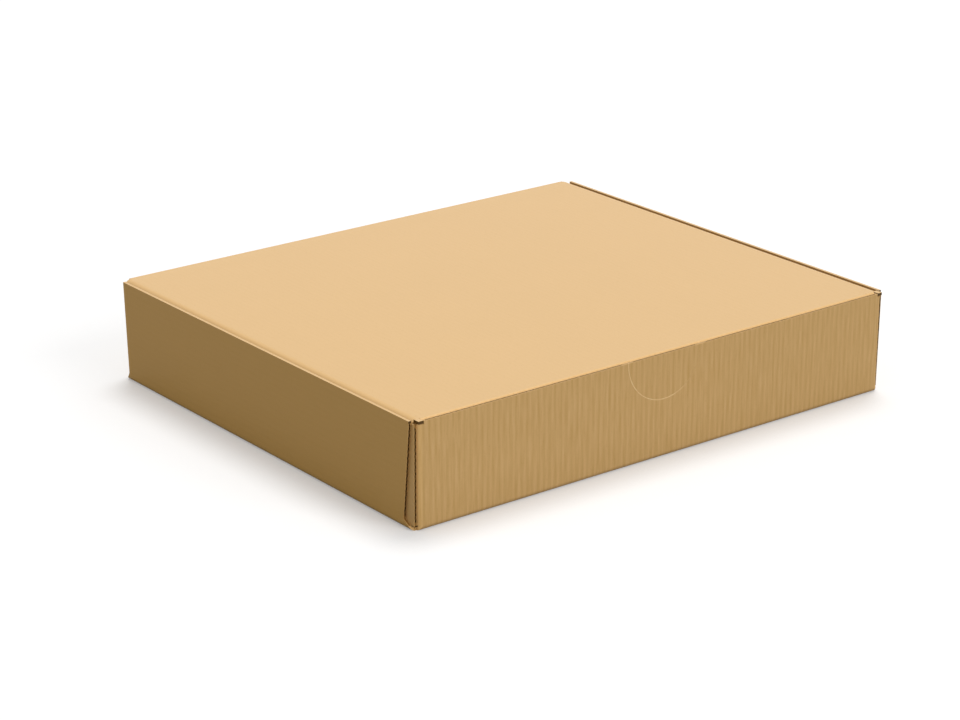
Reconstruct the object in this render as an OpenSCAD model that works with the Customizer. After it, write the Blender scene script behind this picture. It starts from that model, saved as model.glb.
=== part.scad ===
// Hinged-lid mailing box of thin corrugated board, closed.
// Millimetres. +X runs along the front wall, the front faces -Y, +Z is up.
// The origin is on the floor, under the middle of the box.

/* [Box] */
// Length of the front wall over its corner folds
front_l = 300; // [220:5:400]
// Depth over the front and rear walls
body_d = 261; // [180:0.5:340]
// Height from the floor to the top of the lid
body_h = 55; // [48:0.1:90]

/* [Board] */
// Thickness of the corrugated board
board_t = 1.5; // [1.2:0.1:1.8]
// Outer radius of the folds round the base
base_fold_r = 2.5; // [2.25:0.25:4]
// Outer radius of the upright folds at the corners
corner_fold_r = 2; // [1.9:0.1:3]

/* [Flutes] */
// Distance from one flute to the next
flute_pitch = 3.4; // [2.4:0.1:4]
// Thickness of the two liners
liner_t = 0.25; // [0.2:0.05:0.35]
// How deep the flutes stand open in the cut edges
flute_in = 2; // [0.5:0.5:4]

/* [Side walls] */
// How far the side walls' tops lie below the lid's top
wall_drop = 0.3; // [0.2:0.1:1.5]
// Set-back of a side wall's end from the front or rear plane, at its top
end_in_top = 3.6; // [3:0.1:8]
// Set-back of a side wall's front end where its slant stops, above the base fold
end_in_front = 8.3; // [6:0.1:14]
// The same set-back of its rear end
end_in_rear = 5.8; // [4:0.1:14]
// How far the slant stops above the base fold
slant_lift = 2; // [1:0.5:6]
// Set-back of the base fold's ends from the front or rear plane, at the bottom
fold_in = 2.5; // [0.5:0.5:5]
// The same set-back at the top of the base fold
fold_in_top = 4.8; // [1:0.1:6]

/* [Front wall] */
// How far the front wall's top edge lies below the lid's top
front_drop = 0.3; // [0.1:0.1:1]
// Radius of the half-round thumb tab under the front wall's top edge
tab_r = 24; // [15:0.5:32]
// Depth of the half-cut line round the tab
tab_in = 0.5; // [0.2:0.05:0.7]
// Width of the line, whose outer flank slants
tab_rim = 0.7; // [0.3:0.1:1.5]

/* [Lid corners] */
// Length of the lid's front corners along the front edge
lid_corner_l = 2.5; // [2:0.1:6]
// How far they stand out past the front wall's ends
lid_corner_out = 0.3; // [0:0.1:1]
// How far they reach back from the front plane to the side folds
lid_corner_in = 3.8; // [3.5:0.1:8]
// Gap between a lid corner and the wall below and beside it
lid_corner_gap = 0.3; // [0.2:0.1:1]

/* [Corner flaps] */
// Length of a corner flap behind the upright fold
corner_flap_l = 34; // [20:1:60]
// How much each long edge of a corner flap slopes in over its length
corner_flap_slope = 3; // [1:0.5:6]
// Gap between a corner flap's top edge and the end of the lid's side fold
corner_flap_gap = 0.3; // [0.2:0.1:2]

/* [Lid side flaps] */
// Outer radius of the lid's side folds
side_fold_r = 4; // [2.5:0.25:5]
// Clearance of a side flap from the board on either side of it
side_clear = 0.15; // [0.15:0.05:0.5]
// Set-back of a side flap's front end from the front plane, at its top
side_flap_in = 1.7; // [1:0.1:3]
// The same set-back at its lower edge
side_flap_in_low = 2.2; // [1:0.1:6]
// How far the side folds end before the rear plane
side_fold_in = 2.1; // [1:0.1:6]
// Gap between a side flap's lower edge and the curve of the base fold
side_flap_lift = 0.3; // [0.2:0.1:4]
// How much the rear end of a side flap slopes in over its height
side_flap_slope = 6; // [2:0.5:12]

/* [Tuck flap] */
// Depth of the flap that tucks in behind the front wall
tuck_l = 38; // [30:1:42]
// Outer radius of the lid's front fold
tuck_fold_r = 1.8; // [1.8:0.1:2.5]
// Clearance between the lid's front fold and the front wall
tuck_clear = 0.15; // [0.1:0.05:0.4]
// Clearance between the tuck flap's ends and the corner flaps
tuck_side_clear = 1.3; // [0.3:0.1:3]
// Angle by which the tuck flap leans in from upright
tuck_lean = 5; // [5:0.5:8]
// Radius of the tuck flap's lower corners
tuck_corner_r = 12; // [4:1:18]

/* [Rear hinge] */
// Gap between the rear wall's top edge and the lid
hinge_gap = 0.15; // [0.1:0.05:0.5]

/* [Hidden] */
$fn = 96;
board = "#c9a06a";

half_d = body_d / 2;
half_front = front_l / 2;
// a side flap of the lid stands between each corner flap and side wall
flap_out = half_front + side_clear + board_t;
wall_in = flap_out + side_clear;
wall_out = wall_in + board_t;
wall_top = body_h - wall_drop;
front_top = body_h - front_drop;
rear_top = body_h - board_t - hinge_gap;
// top of the front corners, under the lid's corners
corner_top = body_h - board_t - lid_corner_gap;
// half the length of the front wall's raised middle, between the lid's corners
raised_half = half_front - lid_corner_l - lid_corner_gap;
// where the flat of the base ends and its folds begin
base_flat_x = wall_out - base_fold_r;
base_flat_y = half_d - base_fold_r;
side_flat_x = flap_out - side_fold_r;
// height of the base fold's inner curve under a side flap's outer face
fold_inner_r = base_fold_r - board_t;
fold_floor = base_fold_r - sqrt(pow(fold_inner_r, 2) - pow(flap_out - base_flat_x, 2));
side_flap_low = fold_floor + side_flap_lift;
corner_flap_top = body_h - side_fold_r - corner_flap_gap;
tuck_half = half_front - board_t - tuck_side_clear;
tuck_y = -half_d + board_t + tuck_clear + tuck_fold_r;
tuck_z = body_h - tuck_fold_r;

// Part of a ring in the section of a fold, from angle a, turned through w degrees
module fold_ring(r, a, w) {
    intersection() {
        difference() {
            circle(r = r);
            circle(r = r - board_t);
        }
        polygon([[0, 0], for (i = [0:4]) 2 * r * [cos(a + w * i / 4), sin(a + w * i / 4)]]);
    }
}

// Openings of one flute in a cut edge, one at each liner: X along the edge, Y through the board
module flute_pair() {
    wide = flute_pitch / 2 - liner_t;
    narrow = flute_pitch / 12;
    high = board_t - liner_t;
    translate([-flute_pitch / 4, 0]) polygon([
        [-wide, liner_t],
        [wide, liner_t],
        [narrow, high - liner_t],
        [-narrow, high - liner_t],
    ]);
    translate([flute_pitch / 4, 0]) polygon([
        [-narrow, 2 * liner_t],
        [narrow, 2 * liner_t],
        [wide, high],
        [-wide, high],
    ]);
}

// Middles of the flutes that open along a cut edge from a to b
function flute_places(a, b) =
    let (count = floor((b - a) / flute_pitch - 0.5))
    [for (i = [0:count - 1]) (a + b) / 2 + (i - (count - 1) / 2) * flute_pitch];

// Flute openings in an upright cut edge from the lower to the upper of two points in Y and Z,
// on board whose inner face is at x
module upright_flutes(x, low, high) {
    for (z = flute_places(low[1], high[1])) {
        y = low[0] + (high[0] - low[0]) * (z - low[1]) / (high[1] - low[1]);
        translate([x, y, z]) rotate([-90, 0, 0]) rotate([0, 0, -90])
            linear_extrude(height = 2 * flute_in, center = true) flute_pair();
    }
}

// Turns a section drawn in X and Z into a length of board along Y, centred
module along_y(l) {
    rotate([90, 0, 0]) linear_extrude(height = l, center = true) children();
}

// Turns a section drawn in Y and Z into a length of board along X, centred
module along_x(l) {
    rotate([90, 0, 90]) linear_extrude(height = l, center = true) children();
}

// Both of a mirrored pair, left and right
module left_and_right() {
    children();
    mirror([1, 0, 0]) children();
}

// Both of a mirrored pair, front and rear
module front_and_rear() {
    children();
    mirror([0, 1, 0]) children();
}

module base() {
    translate([-base_flat_x, -base_flat_y, 0])
        cube([2 * base_flat_x, 2 * base_flat_y, board_t]);
}

// Right-hand side wall with its fold; its ends are cut on a slant, and again across the fold
module side_wall() {
    slant_z = base_fold_r + slant_lift;
    front_low = [-half_d + end_in_front, slant_z];
    front_high = [-half_d + end_in_top, wall_top];
    rear_low = [half_d - end_in_rear, slant_z];
    rear_high = [half_d - end_in_top, wall_top];
    difference() {
        intersection() {
            along_y(body_d) {
                translate([base_flat_x, base_fold_r]) fold_ring(base_fold_r, 270, 90);
                translate([wall_in, base_fold_r]) square([board_t, wall_top - base_fold_r]);
            }
            translate([base_flat_x, 0, 0]) rotate([90, 0, 90])
                linear_extrude(height = base_fold_r) polygon([
                    [-half_d + fold_in, 0],
                    [half_d - fold_in, 0],
                    [half_d - fold_in_top, base_fold_r],
                    rear_low,
                    rear_high,
                    front_high,
                    front_low,
                    [-half_d + fold_in_top, base_fold_r],
                ]);
        }
        upright_flutes(wall_in, front_low, front_high);
        upright_flutes(wall_in, rear_low, rear_high);
    }
}

// Outline of the front wall and its bends seen from above, with rounded corners
module bend_plan() {
    translate([-half_front, -half_d + corner_fold_r]) square([front_l, base_fold_r]);
    translate([-half_front + corner_fold_r, -half_d])
        square([front_l - 2 * corner_fold_r, base_fold_r]);
    left_and_right() translate([half_front - corner_fold_r, -half_d + corner_fold_r])
        circle(r = corner_fold_r);
}

// Front wall with its base fold and bends, its middle and its bends up to the heights given;
// the rear wall is its mirror image
module end_wall(top, bend_top, middle_half) {
    intersection() {
        along_x(front_l)
            translate([-base_flat_y, base_fold_r]) fold_ring(base_fold_r, 180, 90);
        linear_extrude(height = base_fold_r) bend_plan();
    }
    straight_half = half_front - corner_fold_r;
    translate([-straight_half, -half_d, base_fold_r])
        cube([2 * straight_half, board_t, bend_top - base_fold_r]);
    translate([-middle_half, -half_d, base_fold_r])
        cube([2 * middle_half, board_t, top - base_fold_r]);
    left_and_right() {
        translate([straight_half, -half_d + corner_fold_r, base_fold_r])
            linear_extrude(height = bend_top - base_fold_r) fold_ring(corner_fold_r, 270, 90);
    }
}

// Right-hand corner flap of the front wall, behind the upright fold
module corner_flap(top) {
    translate([half_front - board_t, -half_d + corner_fold_r, 0]) rotate([90, 0, 90])
        linear_extrude(height = board_t) polygon([
            [0, base_fold_r],
            [corner_flap_l, base_fold_r + corner_flap_slope],
            [corner_flap_l, top - corner_flap_slope],
            [0, top],
        ]);
}

// The half-cut line round the thumb tab, with a slanted outer flank
module thumb_cut() {
    translate([0, -half_d, front_top]) rotate([-90, 0, 0]) rotate_extrude() polygon([
        [tab_r - tab_rim, -tab_in],
        [tab_r + tab_rim, -tab_in],
        [tab_r - tab_rim, tab_in],
    ]);
}

// Flute openings along the front wall's top edge, except where the thumb tab's line ends
module top_flutes() {
    for (x = flute_places(-raised_half, raised_half))
        if (abs(abs(x) - tab_r) > flute_pitch)
            translate([x, -half_d, front_top])
                linear_extrude(height = 2 * flute_in, center = true) flute_pair();
}

module tray() {
    color(board) {
        base();
        left_and_right() side_wall();
        difference() {
            end_wall(front_top, corner_top, raised_half);
            thumb_cut();
            top_flutes();
        }
        mirror([0, 1, 0]) end_wall(rear_top, rear_top, half_front - corner_fold_r);
        front_and_rear() left_and_right() corner_flap(corner_flap_top);
    }
}

// Flat top of the lid, its rear edge rounded over as the outside of the rear fold
module lid_panel() {
    lid_half = side_flat_x;
    translate([-lid_half, tuck_y, body_h - board_t])
        cube([2 * lid_half, half_d - board_t - tuck_y, board_t]);
    translate([0, half_d - board_t, body_h - board_t])
        intersection() {
            rotate([0, 90, 0]) cylinder(r = board_t, h = 2 * lid_half, center = true);
            translate([-lid_half, 0, 0]) cube([2 * lid_half, board_t, board_t]);
        }
}

// Right-hand front corner of the lid, flat over the top of the upright bend
module lid_corner() {
    translate([half_front - lid_corner_l, -half_d, body_h - board_t])
        cube([lid_corner_l + lid_corner_out, lid_corner_in, board_t]);
}

// Section of the lid in X and Z: the panel, the side folds and the side flaps
module lid_section() {
    fold_z = body_h - side_fold_r;
    translate([-side_flat_x, body_h - board_t]) square([2 * side_flat_x, board_t]);
    left_and_right() {
        translate([side_flat_x, fold_z]) fold_ring(side_fold_r, 0, 90);
        translate([flap_out - board_t, side_flap_low]) square([board_t, fold_z - side_flap_low]);
    }
}

// Side folds and side flaps of the lid, in one sheet with the panel between them;
// each flap's front end reaches on under the lid's corner
module side_flaps() {
    fold_z = body_h - side_fold_r;
    flap_in = flap_out - board_t;
    front_y = -half_d + lid_corner_in;
    rear_y = half_d - side_fold_in;
    front_low = [-half_d + side_flap_in_low, side_flap_low];
    front_high = [-half_d + side_flap_in, corner_top];
    rear_low = [rear_y - side_flap_slope, side_flap_low];
    rear_high = [rear_y, fold_z];
    difference() {
        union() {
            intersection() {
                along_y(body_d) lid_section();
                along_x(2 * flap_out) polygon([
                    [front_y, body_h],
                    [front_y, side_flap_low],
                    rear_low,
                    rear_high,
                    [rear_y, body_h],
                ]);
            }
            left_and_right() translate([flap_in, 0, 0]) rotate([90, 0, 90])
                linear_extrude(height = board_t) polygon([
                    [front_y, fold_z],
                    [front_y - lid_corner_gap, corner_top],
                    front_high,
                    front_low,
                    rear_low,
                    rear_high,
                ]);
        }
        left_and_right() {
            upright_flutes(flap_in, front_low, front_high);
            upright_flutes(flap_in, rear_low, rear_high);
        }
    }
}

// Front fold and tuck flap of the lid; the flap leans in so that it clears the front wall
module tuck_flap() {
    lean_y = tuck_l * sin(tuck_lean);
    low_z = -tuck_l * cos(tuck_lean);
    corner_x = tuck_half - tuck_corner_r;
    translate([0, tuck_y, tuck_z]) intersection() {
        along_x(front_l) {
            fold_ring(tuck_fold_r, 90, 90);
            polygon([
                [-tuck_fold_r, 0],
                [board_t - tuck_fold_r, 0],
                [board_t - tuck_fold_r + lean_y, low_z],
                [lean_y - tuck_fold_r, low_z],
            ]);
        }
        // outline seen from the front, with the lower corners rounded
        rotate([90, 0, 0]) linear_extrude(height = 2 * (tuck_fold_r + lean_y), center = true) {
            difference() {
                translate([-tuck_half, low_z]) square([2 * tuck_half, tuck_fold_r - low_z]);
                left_and_right() translate([corner_x, low_z]) square(tuck_corner_r);
            }
            left_and_right() translate([corner_x, low_z + tuck_corner_r]) circle(r = tuck_corner_r);
        }
    }
}

module lid() {
    color(board) {
        lid_panel();
        left_and_right() lid_corner();
        side_flaps();
        tuck_flap();
    }
}

tray();
lid();
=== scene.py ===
import math

import bpy
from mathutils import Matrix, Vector


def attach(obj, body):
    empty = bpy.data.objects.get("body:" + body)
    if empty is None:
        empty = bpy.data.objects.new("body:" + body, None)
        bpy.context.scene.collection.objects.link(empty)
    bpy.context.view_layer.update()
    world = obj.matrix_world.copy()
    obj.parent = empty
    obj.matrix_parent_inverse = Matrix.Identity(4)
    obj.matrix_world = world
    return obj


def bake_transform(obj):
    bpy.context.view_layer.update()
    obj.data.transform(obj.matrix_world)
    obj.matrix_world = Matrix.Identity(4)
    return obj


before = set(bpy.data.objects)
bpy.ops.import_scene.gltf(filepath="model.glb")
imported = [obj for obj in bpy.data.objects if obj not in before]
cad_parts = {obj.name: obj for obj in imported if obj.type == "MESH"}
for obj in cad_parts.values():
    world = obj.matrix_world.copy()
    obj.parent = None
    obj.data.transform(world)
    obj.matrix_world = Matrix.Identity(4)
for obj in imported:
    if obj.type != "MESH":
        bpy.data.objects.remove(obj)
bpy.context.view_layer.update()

bl_info = {
    "name": "Mailing Box Looks",
    "version": (1, 0, 0),
    "blender": (4, 5, 0),
    "location": "View3D > Sidebar > Mailing Box",
    "description": "Kraft board, cut edges, rear crease and stage for a hinged-lid mailing box",
    "category": "Object",
}

# places on the folded box, in metres, as in the part's source
BOARD = 0.0015                          # thickness of the board
LINER = 0.00024                         # paper liner on each side of the open flutes
CORNER_X = 0.15005                      # just past the front wall's end
FLAP_IN, FLAP_OUT = 0.15015, 0.15165    # faces of a lid's side flap
WALL_IN, WALL_OUT = 0.1518, 0.1533      # faces of a side wall
FRONT_Y, REAR_Y = -0.1305, 0.1305       # outer faces of the front and rear walls
TONGUE_Y = -0.12675                     # back of the lid's tongues, at its front corners
RAW_FOOT = 0.0021                       # foot of the raw ends, in the round of the base fold
SIDE_FOLD = 0.0510                      # foot of the fold between lid and side flap
FRONT_TOP = 0.0547                      # top of the front and side walls
LID_TOP = 0.055
FAR = 2.0                               # past all of the box

# rear crease: its foot just over the rear wall, its outer radius, half its length, its thickness
CREASE_FOOT, CREASE_RADIUS, CREASE_HALF, CREASE_THICK = 0.05336, 0.0014, 0.1476, 0.00015

# thumb tab: inner and outer radius of the torn line, and its depth
TEAR_IN, TEAR_OUT, TEAR_DEPTH = 0.0233, 0.02385, 0.0004

# the raw cut edges, each between the places that it gives
WALL_ENDS = {"out_x": (WALL_IN + LINER, WALL_OUT - LINER), "z": (RAW_FOOT, 0.05465)}
FLAP_ENDS = {"out_x": (FLAP_IN + LINER, FLAP_OUT - LINER), "z": (RAW_FOOT, SIDE_FOLD)}
TONGUE_ENDS = {"out_x": (FLAP_IN + LINER, FLAP_OUT - LINER), "z": (RAW_FOOT, FAR),
               "y": (-FAR, TONGUE_Y)}
FRONT_EDGE = {"y": (FRONT_Y + LINER, FRONT_Y + BOARD - LINER), "z": (0.05205, 0.05485),
              "out_x": (-FAR, 0.14725)}
CORNER_FLAP_EDGES = {"out_x": (0.14852, 0.14998), "z": (0.0022, 0.0508), "out_y": (-FAR, 0.1284)}
TUCK_EDGE = {"z": (0.01504, 0.01564), "face_z": (-FAR, -0.7)}

# how bare the flutes lie in each of them
RAW_EDGES = ((1.0, WALL_ENDS), (1.0, FLAP_ENDS), (1.0, TONGUE_ENDS), (0.6, FRONT_EDGE),
             (1.0, CORNER_FLAP_EDGES), (1.0, TUCK_EDGE))

# the cut edge that is folded over at the lid's front corners, coloured darker than the other cut
# edges: partly its own colour, partly painted shade in the corner relief
SHUT_EDGE = {"z": (0.05355, 0.05495), "out_x": (0.1474, FAR), "y": (-FAR, TONGUE_Y)}

# liners: the sides' outer faces in a browner painted shade, painted light on the corners' folds, a
# painted highlight on the lid's folds, and painted shade on the strips inside the side walls beside
# the lid
SHADED_SIDES = {"out_x": (0.1520, FAR)}
# painted light on the corner bends, more the more they face sideways
CORNER_BEND_LIGHT = {"out_y": (0.12851, FAR), "out_x": (0.1478, CORNER_X)}
# painted highlight on the lid's folds, most where they slope at 45 degrees
LID_FOLD_HIGHLIGHT = {"z": (0.0525, FAR)}
# painted shade on the inner faces of the side walls beside the lid
SIDE_GAP_SHADE = {"out_x": (WALL_IN - 0.00004, WALL_IN + 0.00004), "z": (0.0515, FAR)}

# a Mix node's sockets for colours, which have the same names as those for numbers
COLOUR_A, COLOUR_B, MIXED = 6, 7, 2


def linear(hexa):
    """A colour written as sRGB hex, turned to linear RGBA."""
    parts = [int(hexa[i:i + 2], 16) / 255 for i in (1, 3, 5)]
    return [c / 12.92 if c <= 0.04045 else ((c + 0.055) / 1.055) ** 2.4 for c in parts] + [1.0]


def add(tree, kind, settings=(), links=()):
    """Adds one node.

    Settings name its properties or inputs, and links tie its inputs to a node or an output.
    """
    node = tree.nodes.new(kind)
    for key, value in dict(settings).items():
        if isinstance(key, str) and hasattr(node, key):
            setattr(node, key, value)
        else:
            node.inputs[key].default_value = value
    for key, source in dict(links).items():
        if isinstance(source, bpy.types.Node):
            source = source.outputs[0]
        tree.links.new(source, node.inputs[key])
    return node


class BoardLooks(bpy.types.PropertyGroup):
    liner: bpy.props.FloatVectorProperty(
        name="Liner", description="Kraft liner on the lid and the ends",
        default=linear("#DDB374"), size=4, min=0, max=1, subtype="COLOR")
    # a browner copy of the liner: painted shade on the outer faces of the side walls
    shaded_side_liner: bpy.props.FloatVectorProperty(
        name="Side liner", description="Browner kraft liner on the side walls",
        default=linear("#D3A65C"), size=4, min=0, max=1, subtype="COLOR")
    fleck: bpy.props.FloatVectorProperty(
        name="Fleck", description="Darker fibres in the liner",
        default=linear("#B98A48"), size=4, min=0, max=1, subtype="COLOR")
    cut: bpy.props.FloatVectorProperty(
        name="Cut edge", description="Paper in the raw cut edges",
        default=linear("#976C2E"), size=4, min=0, max=1, subtype="COLOR")
    # painted shade in the depth of the open flutes
    flute_shade: bpy.props.FloatVectorProperty(
        name="Open flutes", description="Depth of the open flutes",
        default=linear("#5E4016"), size=4, min=0, max=1, subtype="COLOR")
    # darker than the other cut edges: partly the edge's own colour, partly painted shade in the
    # corner relief
    shut_cut: bpy.props.FloatVectorProperty(
        name="Lid corner edge", description="Crushed cut edge at the lid's front corners",
        default=linear("#5E4215"), size=4, min=0, max=1, subtype="COLOR")
    # pale torn fibres, partly painted highlight, which fades into the liner towards the tab's right
    torn: bpy.props.FloatVectorProperty(
        name="Torn fibres", description="Torn fibres in the line round the thumb tab",
        default=linear("#F1C688"), size=4, min=0, max=1, subtype="COLOR")
    torn_tip: bpy.props.FloatVectorProperty(
        name="Fibre tips", description="Tips of the torn fibres",
        default=linear("#F9D79B"), size=4, min=0, max=1, subtype="COLOR")
    flute_pitch: bpy.props.FloatProperty(
        name="Flute pitch", description="From one flute to the next",
        default=0.0034, min=0.001, precision=4, unit="LENGTH", subtype="DISTANCE")
    # the ribs' bumps, painted light and shade, and painted sheen, on the front and rear walls and
    # on the other faces
    end_ribs: bpy.props.FloatProperty(
        name="Ribs, front", description="How much the flutes show on the front and rear walls",
        default=0.034, min=0, max=1, precision=3, subtype="FACTOR")
    flat_ribs: bpy.props.FloatProperty(
        name="Ribs, lid and sides", description="How much the flutes show on the other faces",
        default=0.004, min=0, max=1, precision=3, subtype="FACTOR")


class StageLooks(bpy.types.PropertyGroup):
    floor: bpy.props.FloatVectorProperty(
        name="Floor", description="Floor as the camera sees it",
        default=linear("#FFFFFF"), size=4, min=0, max=1, subtype="COLOR")
    floor_glow: bpy.props.FloatProperty(
        name="Floor glow", description="Share of the floor's white that no shadow takes away",
        default=0.22, min=0, max=1, subtype="FACTOR")
    bounce: bpy.props.FloatVectorProperty(
        name="Bounce", description="Light that the floor throws back at the box",
        default=linear("#98958E"), size=4, min=0, max=1, subtype="COLOR")
    sky: bpy.props.FloatProperty(
        name="Sky", description="Strength of the even light from all round",
        default=0.51, min=0)
    main: bpy.props.FloatProperty(
        name="Main lamp", description="Strength of the lamp high above the box",
        default=1.355, min=0)
    front: bpy.props.FloatProperty(
        name="Front lamp", description="Strength of the low lamp in front of the box",
        default=0.895, min=0)
    lens: bpy.props.FloatProperty(
        name="Lens", description="Focal length of the camera",
        default=102.34, min=1, unit="CAMERA")


def new_tree(material):
    """The empty node tree of a new material or world."""
    material.use_nodes = True
    material.node_tree.nodes.clear()
    return material.node_tree


def board_places(tree):
    """Tells where a point of the board lies, out_x and out_y from the middle, and how it faces."""
    place = add(tree, "ShaderNodeTexCoord")
    spot = add(tree, "ShaderNodeSeparateXYZ", {}, {0: place.outputs["Object"]})
    facing = add(tree, "ShaderNodeSeparateXYZ", {}, {0: place.outputs["Normal"]})
    where = {"spot": place.outputs["Object"], "face_z": facing.outputs["Z"]}
    where.update({"x": spot.outputs["X"], "y": spot.outputs["Y"], "z": spot.outputs["Z"]})
    for name, source in (("out_x", where["x"]), ("out_y", where["y"]),
                         ("face_x", facing.outputs["X"]), ("face_y", facing.outputs["Y"])):
        where[name] = add(tree, "ShaderNodeMath", {"operation": "ABSOLUTE"}, {0: source})
    for name, source in (("on_side", "face_x"), ("on_end", "face_y"), ("on_top", "face_z")):
        where[name] = add(tree, "ShaderNodeMath", {"operation": "GREATER_THAN", 1: 0.5},
                          {0: where[source]})
    return where


def within(tree, where, ranges):
    """1 where each named place lies in its range, and 0 elsewhere."""
    mask = None
    for name, (low, high) in ranges.items():
        inside = add(tree, "ShaderNodeMath",
                     {"operation": "COMPARE", 1: (low + high) / 2, 2: (high - low) / 2},
                     {0: where[name]})
        if mask is not None:
            inside = add(tree, "ShaderNodeMath", {"operation": "MULTIPLY"}, {0: mask, 1: inside})
        mask = inside
    return mask


def sheet_places(tree, where):
    """Coordinates on the flat board: X across the flutes and Y along them."""
    inner = within(tree, where, {"out_x": (-FAR, CORNER_X)})
    # the flutes stand upright in the corner flaps and lie level in the side walls and side flaps
    side_across = add(tree, "ShaderNodeMix", {},
                      {"Factor": inner, "A": where["z"], "B": where["y"]})
    across = add(tree, "ShaderNodeMix", {},
                 {"Factor": where["on_side"], "A": where["x"], "B": side_across})
    along = add(tree, "ShaderNodeMix", {},
                {"Factor": where["on_end"], "A": where["y"], "B": where["z"]})
    return across, add(tree, "ShaderNodeCombineXYZ", {}, {"X": across, "Y": along})


def flute_streaks(tree, across, sheet, pitch):
    """Ribs over the flutes, from about -1.5 to 1.5, broken into streaks, for their bumps and their
    painted light, shade and sheen.
    """
    # the ribs stray a little, over 11 mm across and 110 mm along
    slow = add(tree, "ShaderNodeMapping", {"Scale": (90.0, 9.0, 1.0)}, {"Vector": sheet})
    wander = add(tree, "ShaderNodeTexNoise", {"Scale": 1.0, "Detail": 1.0}, {"Vector": slow})
    turns = add(tree, "ShaderNodeMath", {"operation": "MULTIPLY", 1: math.tau / pitch}, {0: across})
    phase = add(tree, "ShaderNodeMath", {"operation": "MULTIPLY_ADD", 1: 1.3},
                {0: wander, 2: turns})
    rib = add(tree, "ShaderNodeMath", {"operation": "SINE"}, {0: phase})
    # each rib shows in streaks, one flute wide and 12 mm long
    drawn = add(tree, "ShaderNodeMapping", {"Scale": (300.0, 85.0, 1.0)}, {"Vector": sheet})
    streak = add(tree, "ShaderNodeTexNoise", {"Scale": 1.0, "Detail": 2.0}, {"Vector": drawn})
    broken = add(tree, "ShaderNodeMapRange",
                 {"From Min": 0.36, "From Max": 0.6, "To Min": 0.15, "To Max": 0.85}, {0: streak})
    # thinner streaks run between them, 1 mm wide and 17 mm long
    thin = add(tree, "ShaderNodeMapping", {"Scale": (900.0, 60.0, 1.0), "Location": (7.3, 2.1, 0)},
               {"Vector": sheet})
    thin_streak = add(tree, "ShaderNodeTexNoise", {"Scale": 1.0, "Detail": 1.0}, {"Vector": thin})
    thin_level = add(tree, "ShaderNodeMapRange",
                     {"From Min": 0.3, "From Max": 0.7, "To Min": -0.7, "To Max": 0.7},
                     {0: thin_streak})
    return add(tree, "ShaderNodeMath", {"operation": "MULTIPLY_ADD"},
               {0: rib, 1: broken, 2: thin_level})


def liner_tone(tree, where, rib_light_and_shade):
    """Lightness of the liner: cloudy, with the ribs' painted light and shade, painted light on the
    corner bends, a painted highlight on the lid's folds and painted shade in the side gaps.
    """
    # clouds 45 mm wide
    cloud = add(tree, "ShaderNodeTexNoise", {"Scale": 22.0, "Detail": 3.0},
                {"Vector": where["spot"]})
    clouded = add(tree, "ShaderNodeMath", {"operation": "MULTIPLY_ADD", 1: 0.03, 2: 0.985},
                  {0: cloud})
    tone = add(tree, "ShaderNodeMath", {"operation": "ADD"}, {0: clouded, 1: rib_light_and_shade})
    steep = add(tree, "ShaderNodeMath", {"operation": "MAXIMUM"},
                {0: where["face_x"], 1: where["face_y"]})
    bent = add(tree, "ShaderNodeMath", {"operation": "MULTIPLY", "use_clamp": True},
               {0: steep, 1: where["face_z"]})
    # how much painted light or painted shade each place gets, and what that goes by where it isn't
    # even
    for change, over, ranges in ((0.45, where["face_x"], CORNER_BEND_LIGHT), (0.22, bent, LID_FOLD_HIGHLIGHT),
                                 (-0.55, None, SIDE_GAP_SHADE)):
        patch = within(tree, where, ranges)
        if over is not None:
            patch = add(tree, "ShaderNodeMath", {"operation": "MULTIPLY"}, {0: patch, 1: over})
        tone = add(tree, "ShaderNodeMath", {"operation": "MULTIPLY_ADD", 1: change},
                   {0: patch, 2: tone})
    return tone


def cut_edges(tree, where):
    """1 in the raw cut edges and 0 on the liners."""
    raw = None
    for bare, ranges in RAW_EDGES:
        edge = add(tree, "ShaderNodeMath", {"operation": "MULTIPLY", 1: bare},
                   {0: within(tree, where, ranges)})
        if raw is not None:
            edge = add(tree, "ShaderNodeMath", {"operation": "MAXIMUM"}, {0: raw, 1: edge})
        raw = edge
    return raw


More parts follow.
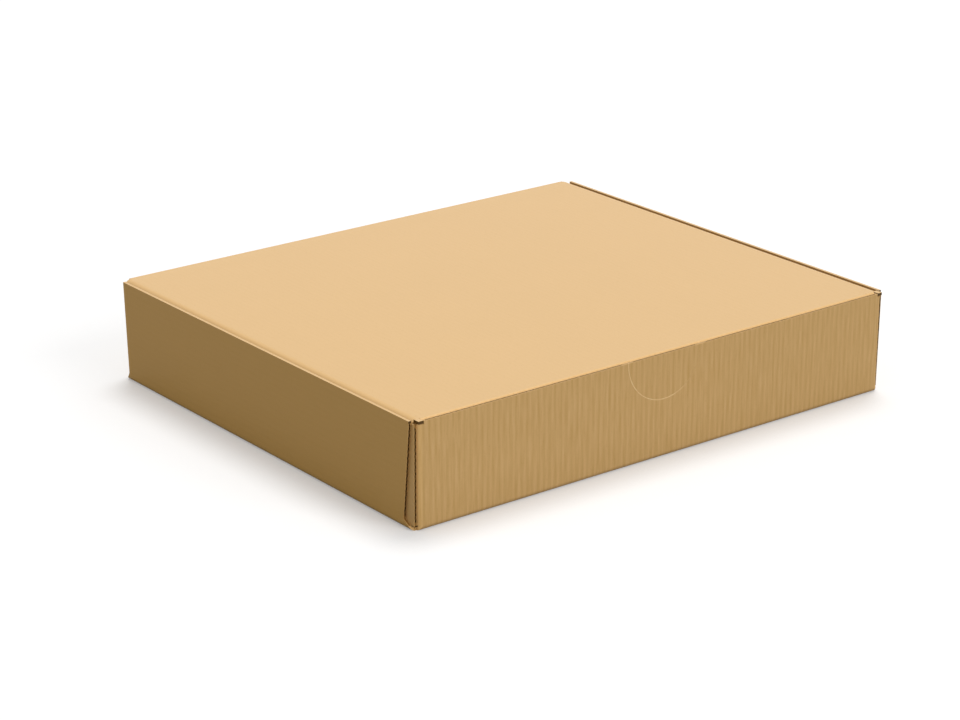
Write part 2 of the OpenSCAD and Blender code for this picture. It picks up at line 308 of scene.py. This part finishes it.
def kraft_board():
    """Corrugated board with kraft liners, rolled and die-cut.

    It gives the eye brown unbleached paper with short darker fibres, half matt, faint ribs over the
    flutes in bumps and painted light, shade and sheen, a browner painted shade on the side walls,
    painted light on the folds, painted shade in the side gaps, and raw cut edges that are rougher,
    with painted shade in the open flutes and a darker lid corner edge.
    """
    looks = bpy.context.scene.mailer_board
    material = bpy.data.materials.new("kraft_corrugated_board")
    tree = new_tree(material)
    where = board_places(tree)
    across, sheet = sheet_places(tree, where)

    streaks = flute_streaks(tree, across, sheet, looks.flute_pitch)
    shown = add(tree, "ShaderNodeMix", {"A": looks.flat_ribs, "B": looks.end_ribs},
                {"Factor": where["on_end"]})
    rib_light_and_shade = add(tree, "ShaderNodeMath", {"operation": "MULTIPLY"}, {0: streaks, 1: shown})
    # a rib also gets painted sheen, the same in each channel, so it looks greyer as well as paler
    rib_sheen = add(tree, "ShaderNodeMath", {"operation": "MULTIPLY", 1: 0.6}, {0: rib_light_and_shade})

    # paper fibres 0.6 mm wide and 2 mm long, coarser than real ones, which wouldn't show
    laid = add(tree, "ShaderNodeMapping", {"Scale": (1600.0, 500.0, 1.0)}, {"Vector": sheet})
    fibre = add(tree, "ShaderNodeTexNoise", {"Scale": 1.0, "Detail": 4.0, "Roughness": 0.6},
                {"Vector": laid})
    flecks = add(tree, "ShaderNodeMapRange",
                 {"From Min": 0.56, "From Max": 0.74, "To Min": 0.0, "To Max": 0.22}, {0: fibre})
    # the side walls' outer faces get the browner liner, painted shade
    on_shaded_side = add(tree, "ShaderNodeMath", {"operation": "MULTIPLY"},
                   {0: within(tree, where, SHADED_SIDES), 1: where["on_side"]})
    liner = add(tree, "ShaderNodeMix",
                {"data_type": "RGBA", COLOUR_A: looks.liner, COLOUR_B: looks.shaded_side_liner},
                {"Factor": on_shaded_side})
    paper = add(tree, "ShaderNodeMix", {"data_type": "RGBA", COLOUR_B: looks.fleck},
                {"Factor": flecks, COLOUR_A: liner.outputs[MIXED]})
    face = add(tree, "ShaderNodeVectorMath", {"operation": "MULTIPLY_ADD"},
               {0: paper.outputs[MIXED], 1: liner_tone(tree, where, rib_light_and_shade), 2: rib_sheen})

    # cut faces that face the ends or upwards keep the cut colour, and the rest of a raw edge, the
    # walls and undersides of the open flutes, gets painted shade
    raw = cut_edges(tree, where)
    on_cut = add(tree, "ShaderNodeMath", {"operation": "MAXIMUM"},
                 {0: where["on_end"], 1: where["on_top"]})
    edge = add(tree, "ShaderNodeMix",
               {"data_type": "RGBA", COLOUR_A: looks.flute_shade, COLOUR_B: looks.cut},
               {"Factor": on_cut})
    edged = add(tree, "ShaderNodeMix", {"data_type": "RGBA"},
                {"Factor": raw, COLOUR_A: face, COLOUR_B: edge.outputs[MIXED]})
    colour = add(tree, "ShaderNodeMix", {"data_type": "RGBA", COLOUR_B: looks.shut_cut},
                 {"Factor": within(tree, where, SHUT_EDGE), COLOUR_A: edged.outputs[MIXED]})

    rough = add(tree, "ShaderNodeMapRange", {"To Min": 0.38, "To Max": 0.9}, {0: raw})
    height = add(tree, "ShaderNodeMath", {"operation": "MULTIPLY_ADD", 1: 0.4},
                 {0: fibre, 2: streaks})
    bump = add(tree, "ShaderNodeBump", {"Strength": 0.12, "Distance": 0.00006}, {"Height": height})
    shader = add(tree, "ShaderNodeBsdfPrincipled", {"IOR": 1.5},
                 {"Base Color": colour.outputs[MIXED], "Roughness": rough, "Normal": bump})
    add(tree, "ShaderNodeOutputMaterial", {}, {"Surface": shader})
    return material


def torn_fibre_highlight():
    """Paper torn along a half-cut line.

    It gives the eye pale loose fibres with a painted highlight on them, pale on the tab's left and
    bottom and fading into the liner towards the tab's right, where the line hardly shows.
    """
    looks = bpy.context.scene.mailer_board
    material = bpy.data.materials.new("torn_fibre_highlight")
    tree = new_tree(material)
    place = add(tree, "ShaderNodeTexCoord")
    # tufts 1 mm wide
    tuft = add(tree, "ShaderNodeTexNoise", {"Scale": 900.0, "Detail": 3.0},
               {"Vector": place.outputs["Object"]})
    tint = add(tree, "ShaderNodeMapRange", {"From Min": 0.35, "From Max": 0.65}, {0: tuft})
    pale = add(tree, "ShaderNodeMix",
               {"data_type": "RGBA", COLOUR_A: looks.torn, COLOUR_B: looks.torn_tip},
               {"Factor": tint})
    spot = add(tree, "ShaderNodeSeparateXYZ", {}, {0: place.outputs["Object"]})
    # the painted highlight fades into the liner between 6 and 16 mm right of the tab's middle
    highlight_fade = add(tree, "ShaderNodeMapRange", {"From Min": 0.006, "From Max": 0.016},
                 {0: spot.outputs["X"]})
    paper = add(tree, "ShaderNodeMix", {"data_type": "RGBA", COLOUR_B: looks.liner},
                {"Factor": highlight_fade, COLOUR_A: pale.outputs[MIXED]})
    bump = add(tree, "ShaderNodeBump", {"Strength": 0.3, "Distance": 0.00005}, {"Height": tuft})
    shader = add(tree, "ShaderNodeBsdfPrincipled", {"Roughness": 0.5, "IOR": 1.5},
                 {"Base Color": paper.outputs[MIXED], "Normal": bump})
    add(tree, "ShaderNodeOutputMaterial", {}, {"Surface": shader})
    return material


def white_studio_floor():
    """Matt white studio floor.

    The camera sees white with the box's soft shadow, and the box gets a plain grey bounce.
    """
    looks = bpy.context.scene.mailer_stage
    material = bpy.data.materials.new("white_studio_floor")
    tree = new_tree(material)
    ray = add(tree, "ShaderNodeLightPath")
    matt = add(tree, "ShaderNodeBsdfDiffuse", {"Color": looks.floor})
    # a little past white, so that the open floor shows no grey
    glow = add(tree, "ShaderNodeEmission", {"Color": looks.floor, "Strength": 1.1})
    seen = add(tree, "ShaderNodeMixShader", {0: looks.floor_glow}, {1: matt, 2: glow})
    bounce = add(tree, "ShaderNodeBsdfDiffuse", {"Color": looks.bounce})
    mix = add(tree, "ShaderNodeMixShader", {},
              {0: ray.outputs["Is Camera Ray"], 1: bounce, 2: seen})
    add(tree, "ShaderNodeOutputMaterial", {}, {"Surface": mix})
    return material


def pale_studio():
    """White studio all round.

    The camera and reflections see plain white, and the box gets a weaker even light.
    """
    world = bpy.data.worlds.new("pale_studio")
    tree = new_tree(world)
    ray = add(tree, "ShaderNodeLightPath")
    mirrored = add(tree, "ShaderNodeMath", {"operation": "MAXIMUM"},
                   {0: ray.outputs["Is Glossy Ray"], 1: ray.outputs["Is Transmission Ray"]})
    seen = add(tree, "ShaderNodeMath", {"operation": "MAXIMUM"},
               {0: ray.outputs["Is Camera Ray"], 1: mirrored})
    sky = add(tree, "ShaderNodeBackground",
              {"Strength": bpy.context.scene.mailer_stage.sky, "Color": linear("#FFFFFF")})
    white = add(tree, "ShaderNodeBackground", {"Strength": 1.0, "Color": linear("#FFFFFF")})
    mix = add(tree, "ShaderNodeMixShader", {}, {0: seen, 1: sky, 2: white})
    add(tree, "ShaderNodeOutputWorld", {}, {"Surface": mix})
    return world


class MAILER_OT_board(bpy.types.Operator):
    """Gives the tray and the lid their kraft board"""
    bl_idname = "mailer.board"
    bl_label = "Board"

    def execute(self, context):
        material = kraft_board()
        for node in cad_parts.values():
            node.data.materials.clear()
            node.data.materials.append(material)
        return {"FINISHED"}


class MAILER_OT_crease(bpy.types.Operator):
    """Lays the liner over the rear crease, where the rear wall turns into the lid"""
    bl_idname = "mailer.crease"
    bl_label = "Rear crease"

    def execute(self, context):
        turn = LID_TOP - CREASE_RADIUS
        middle = (CREASE_FOOT + turn) / 2
        bpy.ops.object.select_all(action="DESELECT")
        bpy.ops.mesh.primitive_plane_add(
            size=1, location=(0, REAR_Y, middle), rotation=(math.pi / 2, 0, 0))
        crease = context.object
        crease.name = "rear_crease"
        crease.scale = (2 * CREASE_HALF, turn - CREASE_FOOT, 1)
        bpy.ops.object.transform_apply(location=True, rotation=True, scale=True)
        # the upper edge is turned over into the lid
        for vertex in crease.data.vertices:
            vertex.select = vertex.co.z > middle
        for edge in crease.data.edges:
            edge.select = all(crease.data.vertices[i].select for i in edge.vertices)
        for face in crease.data.polygons:
            face.select = False
        bpy.ops.object.mode_set(mode="EDIT")
        bpy.ops.mesh.spin(steps=8, angle=-math.pi / 2, center=(0, REAR_Y - CREASE_RADIUS, turn),
                          axis=(1, 0, 0))
        bpy.ops.mesh.select_all(action="SELECT")
        bpy.ops.mesh.remove_doubles(threshold=0.00001)
        bpy.ops.mesh.normals_make_consistent(inside=False)
        bpy.ops.object.mode_set(mode="OBJECT")
        if crease.data.polygons[0].normal.y < 0:
            crease.data.flip_normals()
        bpy.ops.object.modifier_add(type="SOLIDIFY")
        crease.modifiers[-1].thickness = CREASE_THICK
        crease.modifiers[-1].offset = -1
        bpy.ops.object.modifier_apply(modifier=crease.modifiers[-1].name)
        bpy.ops.object.shade_smooth_by_angle(angle=math.radians(40))
        crease.data.materials.append(bpy.data.materials["kraft_corrugated_board"])
        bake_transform(crease)
        return {"FINISHED"}


class MAILER_OT_tab_fibres(bpy.types.Operator):
    """Fills the half-cut line round the thumb tab with pale torn fibres and a painted highlight,
    flush with the wall
    """
    bl_idname = "mailer.tab_fibres"
    bl_label = "Tab fibres"

    def execute(self, context):
        bpy.ops.object.select_all(action="DESELECT")
        bpy.ops.mesh.primitive_plane_add(
            size=1, location=(-(TEAR_IN + TEAR_OUT) / 2, FRONT_Y + TEAR_DEPTH / 2, FRONT_TOP))
        fibres = context.object
        fibres.name = "tab_fibres"
        fibres.scale = (TEAR_OUT - TEAR_IN, TEAR_DEPTH, 1)
        bpy.ops.object.transform_apply(location=True, rotation=True, scale=True)
        bpy.ops.object.mode_set(mode="EDIT")
        bpy.ops.mesh.select_all(action="SELECT")
        bpy.ops.mesh.spin(steps=72, angle=math.pi, center=(0, FRONT_Y, FRONT_TOP), axis=(0, 1, 0))
        bpy.ops.mesh.select_all(action="SELECT")
        bpy.ops.mesh.remove_doubles(threshold=0.000001)
        bpy.ops.mesh.normals_make_consistent(inside=False)
        bpy.ops.object.mode_set(mode="OBJECT")
        fibres.data.materials.append(torn_fibre_highlight())
        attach(fibres, "tray")
        return {"FINISHED"}


class MAILER_OT_stage(bpy.types.Operator):
    """Makes the floor, the light and the camera"""
    bl_idname = "mailer.stage"
    bl_label = "Stage"

    def execute(self, context):
        looks = context.scene.mailer_stage
        bpy.ops.object.select_all(action="DESELECT")
        bpy.ops.mesh.primitive_plane_add(size=12)
        floor = context.object
        floor.name = "floor"
        floor.data.materials.append(white_studio_floor())
        context.scene.world = pale_studio()

        # each lamp's name, strength, way towards it, and width in degrees as seen from the box
        for name, strength, towards, width in (
                ("main_lamp", looks.main, (0.27, 0.23, 1), 26),
                ("front_lamp", looks.front, (0.25, -0.85, 0.45), 34)):
            bpy.ops.object.light_add(type="SUN")
            lamp = context.object
            lamp.name = name
            lamp.data.energy = strength
            lamp.data.angle = math.radians(width)
            lamp.rotation_euler = Vector(towards).to_track_quat("Z", "Y").to_euler()

        # the camera looks at the box from the front left and above
        azimuth, elevation = math.radians(-37.761), math.radians(20.199)
        aim, distance = Vector((-0.013559, 0, 0.016398)), 1.43812
        back = Vector((math.sin(azimuth) * math.cos(elevation),
                       -math.cos(azimuth) * math.cos(elevation), math.sin(elevation)))
        bpy.ops.object.camera_add()
        camera = context.object
        camera.name = "photo_camera"
        camera.data.lens = looks.lens
        camera.data.sensor_width = 36
        camera.data.clip_start = 0.05
        camera.data.clip_end = 60
        camera.location = aim + back * distance
        camera.rotation_euler = back.to_track_quat("Z", "Y").to_euler()
        context.scene.camera = camera
        context.scene.view_settings.view_transform = "Standard"
        return {"FINISHED"}


class MAILER_PT_panel(bpy.types.Panel):
    """Lists the steps that dress the box, and their sizes and colours"""
    bl_idname = "MAILER_PT_panel"
    bl_label = "Mailing Box"
    bl_space_type = "VIEW_3D"
    bl_region_type = "UI"
    bl_category = "Mailing Box"

    def draw(self, context):
        for name in ("mailer.board", "mailer.crease", "mailer.tab_fibres", "mailer.stage"):
            self.layout.operator(name)
        for group in (context.scene.mailer_board, context.scene.mailer_stage):
            for prop in group.bl_rna.properties:
                if not prop.is_readonly and prop.identifier != "name":
                    self.layout.prop(group, prop.identifier)


CLASSES = (BoardLooks, StageLooks, MAILER_OT_board, MAILER_OT_crease, MAILER_OT_tab_fibres,
           MAILER_OT_stage, MAILER_PT_panel)


def register():
    for item in CLASSES:
        bpy.utils.register_class(item)
    bpy.types.Scene.mailer_board = bpy.props.PointerProperty(type=BoardLooks)
    bpy.types.Scene.mailer_stage = bpy.props.PointerProperty(type=StageLooks)


def unregister():
    del bpy.types.Scene.mailer_stage
    del bpy.types.Scene.mailer_board
    for item in reversed(CLASSES):
        bpy.utils.unregister_class(item)


def main():
    register()
    bpy.ops.mailer.board()
    bpy.ops.mailer.crease()
    bpy.ops.mailer.tab_fibres()
    bpy.ops.mailer.stage()
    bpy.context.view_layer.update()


if __name__ == "__main__":
    main()
